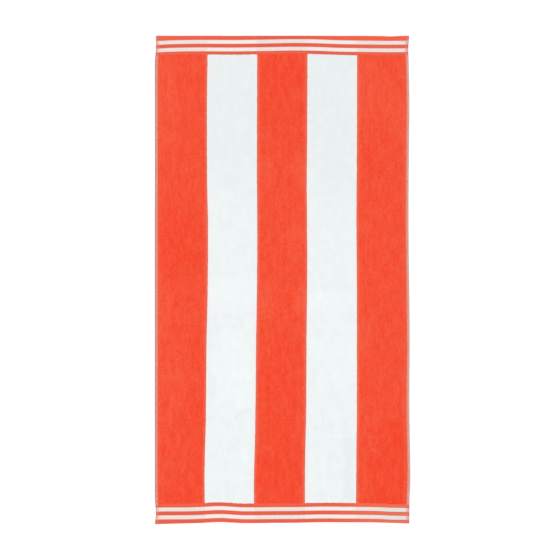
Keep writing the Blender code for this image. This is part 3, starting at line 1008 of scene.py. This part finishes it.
FINISHES = {
    colour_name: (velour(f"{colour_name}_velour", yarn), terry(f"{colour_name}_terry", yarn.pale))
    for colour_name, yarn in YARNS.items()
}

FACES_DOWN = -0.3  # the loops' side, by a face's normal
for number, colour_name in enumerate(STRIPE_COLOURS):
    stripe = lay_out(pile_stripe(number))
    for finish in FINISHES[colour_name]:
        stripe.data.materials.append(finish)
    for face in stripe.data.polygons:
        face.material_index = 1 if face.normal.z < FACES_DOWN else 0


# ---- The side hems -----------------------------------------------------------------------------
# The selvedges, woven without pile from coral warp and white weft, so they look salmon. Each is
# folded over twice and sewn down as a firm rounded strip, and runs on over the end hems.

SIDE_HEM_WIDTH = HALF_WIDTH - PILE_HALF_WIDTH
SIDE_HEM_THICKNESS = 2.6 * MM
HEM_ROW_PITCH = 3.1 * MM
CORNER_THICKNESS = 3.8 * MM
CORNER_SLOPE = 5.0 * MM
END_ROUNDING = 1.6 * MM
END_PINCH = 0.35  # how thick the strip still is at its very end
SAME_PLACE = 0.01 * MM

# The strip in section, round from the sewn edge over the top to the fold and back beneath: the
# distance in from the folded edge in millimetres, and the height as a share of the thickness.
Outline = namedtuple("Outline", "depth_mm height")
SIDE_HEM_SECTION = [Outline(*row) for row in (
    (10.9, 0.30),
    (10.9, 0.62),
    (10.4, 0.86),
    (9.5, 0.97),
    (8.4, 0.94),
    (7.7, 0.86),  # the stitches draw a channel in here
    (7.0, 0.94),
    (5.6, 1.0),
    (3.4, 1.0),
    (1.8, 0.96),
    (0.8, 0.85),
    (0.2, 0.67),
    (0.0, 0.5),
    (0.2, 0.33),
    (0.8, 0.15),
    (1.8, 0.03),
    (5.6, 0.0),
    (9.9, 0.02),
)]


def side_hem(name, side):
    """One side hem as a closed strip. side is -1 on the left and 1 on the right."""
    rows = rim_and_field(-HALF_LENGTH, HALF_LENGTH, round(TOWEL_LENGTH / HEM_ROW_PITCH))
    section = [*SIDE_HEM_SECTION, SIDE_HEM_SECTION[0]]
    strip = cloth_grid(name, np.arange(len(section), dtype=float), rows)
    net = vertex_places(strip).reshape(len(rows), len(section), 3)
    depth = np.array([point.depth_mm * MM for point in section])
    share = np.array([point.height for point in section])
    from_end = HALF_LENGTH - np.abs(rows)
    over_end_hem = 1 - ease((from_end - END_DEPTHS[1][1]) / CORNER_SLOPE)
    thickness = SIDE_HEM_THICKNESS + (CORNER_THICKNESS - SIDE_HEM_THICKNESS) * over_end_hem
    end_round = rounded(from_end, END_ROUNDING)
    middle = thickness / 2
    net[..., 0] = side * (HALF_WIDTH - depth[None, :])
    pinch = END_PINCH + (1 - END_PINCH) * end_round[:, None]
    off_middle = thickness[:, None] * share[None, :] - middle[:, None]
    net[..., 2] = middle[:, None] + off_middle * pinch
    move_vertices(strip, net.reshape(-1, 3))
    steps = np.hypot(np.diff(depth), np.diff(share * SIDE_HEM_THICKNESS))
    woven_across = side * (HALF_WIDTH - SIDE_HEM_WIDTH + np.concatenate([[0.0], np.cumsum(steps)]))
    woven = np.broadcast_arrays(woven_across[None, :], rows[:, None])
    mark_weave(strip, np.stack(woven, axis=-1).reshape(-1, 2))
    only(strip)
    bpy.ops.object.mode_set(mode="EDIT")
    bpy.ops.mesh.select_all(action="SELECT")
    bpy.ops.mesh.remove_doubles(threshold=SAME_PLACE)
    bpy.ops.mesh.select_all(action="DESELECT")
    bpy.ops.mesh.select_non_manifold()
    bpy.ops.mesh.edge_face_add()
    bpy.ops.mesh.select_all(action="SELECT")
    bpy.ops.mesh.normals_make_consistent(inside=False)
    bpy.ops.object.mode_set(mode="OBJECT")
    return lay_out(strip)


# How the hems look from the outer fold inwards: the place as a share of the width, and there the
# share of white yarn on the face beside the pile and in the white cross bands, and the brightness,
# darkened by painted shade on the rounded fold, of the left and of the right hem.
Tone = namedtuple("Tone", "place left_white left_band left_shade right_white right_band right_shade")
HEM_TONES = [Tone(*row) for row in (
    (0.0, 0.44, 0.56, 0.62, 0.45, 0.50, 0.84),
    (0.18, 0.44, 0.56, 0.70, 0.44, 0.50, 0.90),
    (0.42, 0.36, 0.58, 1.0, 0.33, 0.50, 0.97),
    (0.75, 0.20, 0.76, 1.0, 0.13, 0.52, 1.0),
    (1.0, 0.14, 0.84, 1.0, 0.08, 0.60, 1.0),
)]
HEM_CORAL = (0.87, 0.105, 0.048)
HEM_WHITE, HEM_WHITE_IN_BANDS = (0.97, 0.86, 0.72), (0.97, 0.85, 0.81)
WHITE_IN_CORAL_BANDS = 0.10
HEM_WEFT_PITCH_MM, HEM_WEFT_RELIEF_MM = 1.6, 0.3
HEM_WARP_PITCH_MM, HEM_WARP_RELIEF_MM = 1.1, 0.2
HEM_FUZZ_MM, HEM_FUZZ = 0.8, 0.3
WHITE_SPREAD, WHITE_FROM = 0.88, 1.08  # how the share of white turns into where its yarn shows
YARN_EDGE = 6.0  # how sharply the white yarn ends
HEM_GRAIN = Grain(3, 6, 0.9, 1.08)

hem_weave, tree, shader = new_material("salmon_hem_weave", roughness=0.9, sheen=0.15, specular=0.25)
place = woven_place(tree)
across, along = weave_axes(tree, place)
inwards = sums(tree, "SUBTRACT", HALF_WIDTH, sums(tree, "ABSOLUTE", across))
inwards = sums(tree, "DIVIDE", inwards, SIDE_HEM_WIDTH, clamp=True)
on_right = sums(tree, "GREATER_THAN", across, 0.0)
tone_places = column(HEM_TONES, "place")
left_white, left_band, left_shade, right_white, right_band, right_shade = (
    values_through(tree, inwards, list(zip(tone_places, column(HEM_TONES, name))))
    for name in Tone._fields[1:]
)
in_border = sums(tree, "GREATER_THAN", sums(tree, "ABSOLUTE", along), pile_top)
white_band = across_borders(tree, along, white_band_stops)
white_share = blend(tree, on_right, left_white, right_white, "FLOAT")
white_share = blend(tree, in_border, white_share, WHITE_IN_CORAL_BANDS, "FLOAT")
band_share = blend(tree, on_right, left_band, right_band, "FLOAT")
white_share = blend(tree, white_band, white_share, band_share, "FLOAT")
lighter_left = sums(tree, "SQRT", left_shade)  # beside the borders the left hem's painted shade is lighter
left_shade = blend(tree, in_border, left_shade, lighter_left, "FLOAT")
# painted shade on the hems' rounded outer folds, darker on the left hem than on the right
shade = blend(tree, on_right, left_shade, right_shade, "FLOAT")

# A plain weave: coral warp and white weft lie on top by turns.
weft = ribs(tree, place, HEM_WEFT_PITCH_MM, "Y")
warp = ribs(tree, place, HEM_WARP_PITCH_MM, "X")
off_weft, off_warp = (sums(tree, "SUBTRACT", yarns, 0.5) for yarns in (weft, warp))
over = sums(tree, "MULTIPLY_ADD", sums(tree, "MULTIPLY", off_weft, off_warp), 2.0, 0.5)
fuzz = patch_noise(tree, place, HEM_FUZZ_MM, HEM_FUZZ_MM)
over = sums(tree, "MULTIPLY_ADD", fuzz, HEM_FUZZ, over)
white_yarn = sums(tree, "MULTIPLY_ADD", white_share, WHITE_SPREAD, over)
white_yarn = sums(tree, "MULTIPLY_ADD", white_yarn, YARN_EDGE, 0.5 - YARN_EDGE * WHITE_FROM, clamp=True)
hem_white = blend(tree, in_border, HEM_WHITE, HEM_WHITE_IN_BANDS)
colour = shaded(tree, blend(tree, white_yarn, HEM_CORAL, hem_white), shade, 0.0, 1.0)
feed(tree, shader.inputs["Base Color"], grained(tree, colour, place, HEM_GRAIN))
raise_bumps(tree, shader, (weft, HEM_WEFT_RELIEF_MM), (warp, HEM_WARP_RELIEF_MM))

for name, side in (("side_hem_left", -1), ("side_hem_right", 1)):
    strip = side_hem(name, side)
    strip.data.materials.append(hem_weave)


# ---- The stitches ------------------------------------------------------------------------------
# One row of lockstitch along each hem, sewn through all its layers with a matt spun thread. Each
# stitch bulges a little out of the channel that it draws into the hem.

STITCH_PITCH = 3.5 * MM
STITCH_LENGTH = 3.0 * MM
STITCH_SIDES = 5
STITCH_BELLY = STITCH_LENGTH / 5  # how far from its middle it keeps its full thickness
STITCH_TAPER = 0.45  # how much thinner its ends are
STITCH_DIVE = 0.42 * MM  # how deep its ends go into the cloth
THREAD_RADIUS = 0.28 * MM
THREAD_RISE = 0.12 * MM  # of its middle above the channel
SIDE_STITCH_DEPTH = 7.7 * MM
SIDE_CHANNEL = SIDE_HEM_SECTION[5].height * SIDE_HEM_THICKNESS
END_STITCH_INSET = 2.4 * MM  # how far the end hems' stitches are from the hem's inner edge
END_CHANNEL = HEM_FOLD[5].height_mm * MM + CLOTH_THICKNESS / 2
SIDE_ROW_INSET, END_ROW_INSET = 3 * MM, 11 * MM  # where the rows stop short of the corners
THREAD_COLOUR = (0.80, 0.30, 0.23)
TWIST_MM, TWIST_RELIEF_MM, TWIST_SHADE = 0.4, 0.1, (0.8, 1.15)


def one_stitch(name):
    """A short round thread along +X whose ends dive into the cloth."""
    bpy.ops.object.select_all(action="DESELECT")
    bpy.ops.mesh.primitive_cylinder_add(
        vertices=STITCH_SIDES, radius=THREAD_RADIUS, depth=STITCH_LENGTH, rotation=(0, math.pi / 2, 0)
    )
    stitch = bpy.context.object
    stitch.name = stitch.data.name = name
    bpy.ops.object.transform_apply(location=False, rotation=True, scale=False)
    bpy.ops.object.mode_set(mode="EDIT")
    for place in (STITCH_BELLY, -STITCH_BELLY):
        bpy.ops.mesh.select_all(action="SELECT")
        bpy.ops.mesh.bisect(plane_co=(place, 0, 0), plane_no=(1, 0, 0))
    bpy.ops.object.mode_set(mode="OBJECT")
    places = vertex_places(stitch)
    share = np.clip(np.abs(places[:, 0]) / (STITCH_LENGTH / 2), 0, 1)
    places[:, 1:] *= (1 - STITCH_TAPER * share**2)[:, None]
    places[:, 2] -= STITCH_DIVE * share**2
    move_vertices(stitch, places)
    return stitch


def stitch_row(name, start, direction, length, height):
    """A row of stitches from start, running along X or Y of the straight cloth."""
    row = one_stitch(name)
    only(row)
    repeat = row.modifiers.new("repeat", "ARRAY")
    repeat.count = int(length / STITCH_PITCH)
    repeat.use_relative_offset = False
    repeat.use_constant_offset = True
    repeat.constant_offset_displace = (STITCH_PITCH, 0, 0)
    bpy.ops.object.modifier_apply(modifier=repeat.name)
    run, beside, up = vertex_places(row).T
    run = run + STITCH_PITCH / 2
    across, along = (run, beside) if direction == "X" else (-beside, run)
    move_vertices(row, np.stack([start[0] + across, start[1] + along, height + up], axis=-1))
    return lay_out(row)


thread, tree, shader = new_material("sewing_thread", roughness=0.8, sheen=0.2, specular=0.3)
spot = add_node(tree, "TexCoord").outputs["Object"]
twist = add_node(tree, "TexNoise", {"Vector": spot, "Scale": 1 / (TWIST_MM * MM)}).outputs["Fac"]
feed(tree, shader.inputs["Base Color"], shaded(tree, THREAD_COLOUR, twist, *TWIST_SHADE))
raise_bumps(tree, shader, (twist, TWIST_RELIEF_MM))

stitches = []
for name, side in (("stitches_left", -1), ("stitches_right", 1)):
    start = (side * (HALF_WIDTH - SIDE_STITCH_DEPTH), SIDE_ROW_INSET - HALF_LENGTH)
    length = TOWEL_LENGTH - 2 * SIDE_ROW_INSET
    stitches.append(stitch_row(name, start, "Y", length, SIDE_CHANNEL + THREAD_RISE))
for name, end in (("stitches_top", 1), ("stitches_foot", -1)):
    depth = END_DEPTHS[end][1] - END_STITCH_INSET
    start = (END_ROW_INSET - HALF_WIDTH, end * (HALF_LENGTH - depth))
    length = TOWEL_WIDTH - 2 * END_ROW_INSET
    stitches.append(stitch_row(name, start, "X", length, END_CHANNEL + THREAD_RISE))
for row in stitches:
    row.data.materials.append(thread)


# ---- The floor and the light -------------------------------------------------------------------
# A plain white floor under the towel, one large soft light above its foot end, and an even white
# surround, which together leave hardly a shadow, as in a studio.

FLOOR_SIZE = 60.0
FLOOR_DROP = 0.05 * MM  # just below the towel, so that their faces don't meet
WHITE = (1.0, 1.0, 1.0, 1.0)
SURROUND_STRENGTH = 0.82
LIGHT_SIZE, LIGHT_POWER = 4.0, 362.0
LIGHT_PLACE = (-2.0, -1.5, 11.0)

bpy.ops.object.select_all(action="DESELECT")
bpy.ops.mesh.primitive_plane_add(size=FLOOR_SIZE, location=(0, 0, -FLOOR_DROP))
floor = bpy.context.object
floor.name = "floor"
floor_paint, tree, shader = new_material("floor_paint", roughness=0.9, sheen=0.0, specular=0.0)
shader.inputs["Base Color"].default_value = WHITE
floor.data.materials.append(floor_paint)

world = bpy.data.worlds.new("studio")
world.use_nodes = True
surround = world.node_tree.nodes["Background"]
surround.inputs["Color"].default_value = WHITE
surround.inputs["Strength"].default_value = SURROUND_STRENGTH
bpy.context.scene.world = world

bpy.ops.object.light_add(type="AREA", location=LIGHT_PLACE)
soft_light = bpy.context.object
soft_light.data.shape = "SQUARE"
soft_light.data.size = LIGHT_SIZE
soft_light.data.energy = LIGHT_POWER
soft_light.rotation_euler = Vector(LIGHT_PLACE).to_track_quat("Z", "Y").to_euler()
bpy.context.scene.view_settings.view_transform = "Standard"
bpy.context.scene.view_settings.look = "None"
